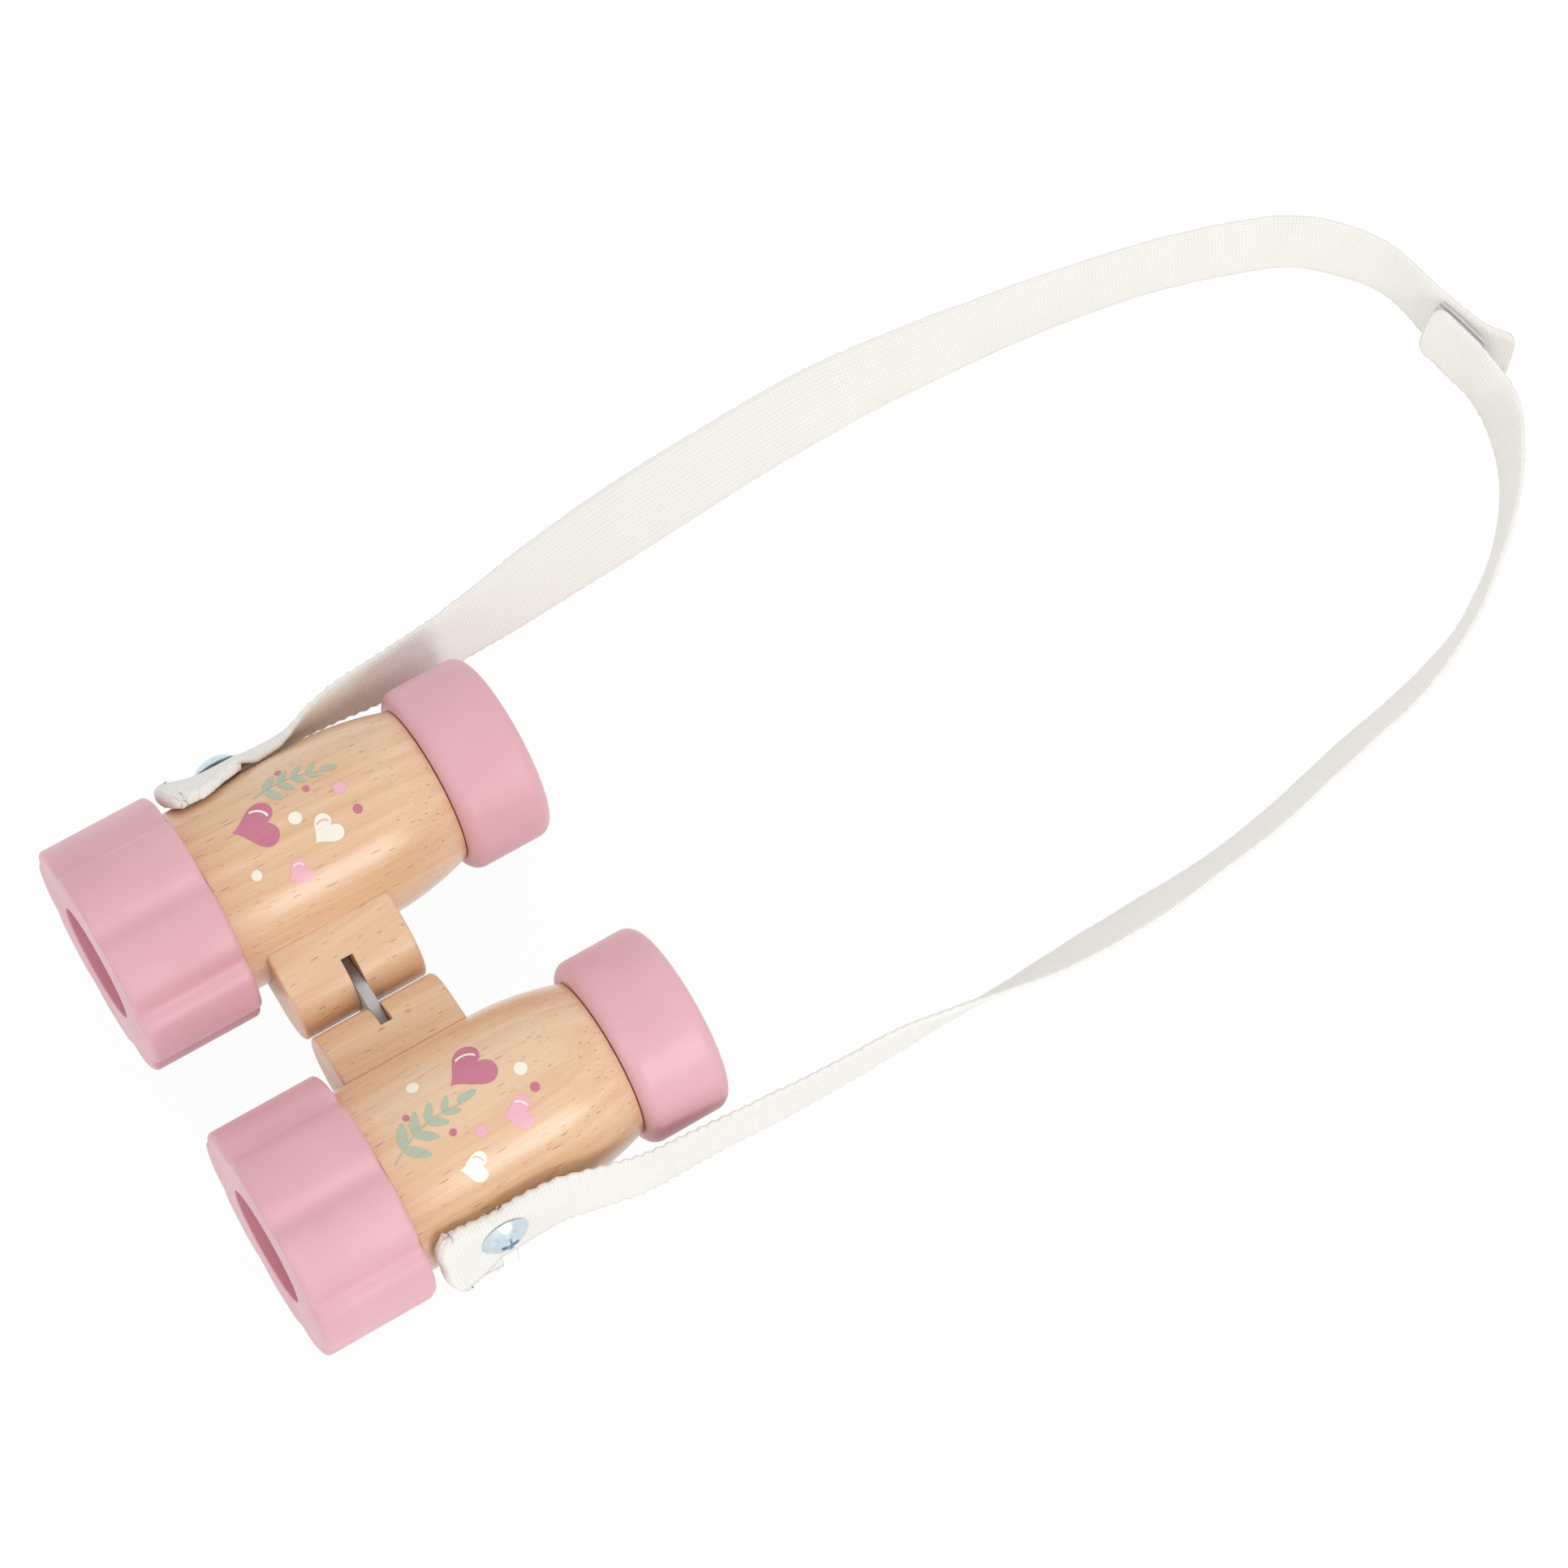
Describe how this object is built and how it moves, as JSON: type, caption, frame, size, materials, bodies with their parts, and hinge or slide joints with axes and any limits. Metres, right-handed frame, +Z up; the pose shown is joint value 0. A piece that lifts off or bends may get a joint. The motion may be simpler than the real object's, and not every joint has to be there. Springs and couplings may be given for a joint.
{
  "type": "wooden toy binoculars",
  "caption": "Folding wooden toy binoculars: beech barrels with painted scalloped objective rings and round eyepiece rings on a link hinge, with a screwed-on cotton neck strap.",
  "frame": {"origin": "on the table under the middle of the box of the pair without its strap, as it lies", "axes": "+Z up, objective ends towards -Y, eyepieces towards +Y, the user's left barrel on +X"},
  "size_m": [0.1433, 0.3269, 0.0505],
  "materials": {
    "beech": "satin varnish on beech",
    "pink_paint": "satin pink paint on wood",
    "clear_acrylic": "clear polished",
    "steel": "dull grey steel",
    "zinc": "bright zinc plate",
    "cotton": "off-white woven webbing",
    "nylon": "off-white hook-and-loop tape"
  },
  "bodies": {
    "bridge": {"hinge_link": "steel", "strap_hook_patch": "nylon", "strap_loop_patch": "nylon"},
    "left_half": {"left_objective_ring": "pink_paint", "left_barrel": "beech", "left_eyepiece_ring": "pink_paint", "left_objective_lens": "clear_acrylic", "left_eyepiece_lens": "clear_acrylic", "left_hinge_block": "beech", "left_hinge_pin": "steel", "left_front_dowel": "beech", "left_rear_dowel": "beech", "left_strap_screw": "zinc", "left_strap": "cotton"},
    "right_half": {"right_objective_ring": "pink_paint", "right_barrel": "beech", "right_eyepiece_ring": "pink_paint", "right_objective_lens": "clear_acrylic", "right_eyepiece_lens": "clear_acrylic", "right_hinge_block": "beech", "right_hinge_pin": "steel", "right_front_dowel": "beech", "right_rear_dowel": "beech", "right_strap_screw": "zinc", "right_strap": "cotton"}
  },
  "joints": [
    {"name": "left_hinge", "type": "hinge", "parent": "bridge", "child": "left_half", "pos_m": [0.0104, -0.00472, 0.01955], "axis": [0, 0.9982, -0.0604], "range_deg": [-36, 54], "deforming": ["left_strap"]},
    {"name": "right_hinge", "type": "hinge", "parent": "bridge", "child": "right_half", "pos_m": [-0.0104, -0.00472, 0.01955], "axis": [0, -0.9982, 0.0604], "range_deg": [-36, 54], "deforming": ["right_strap"]}
  ]
}
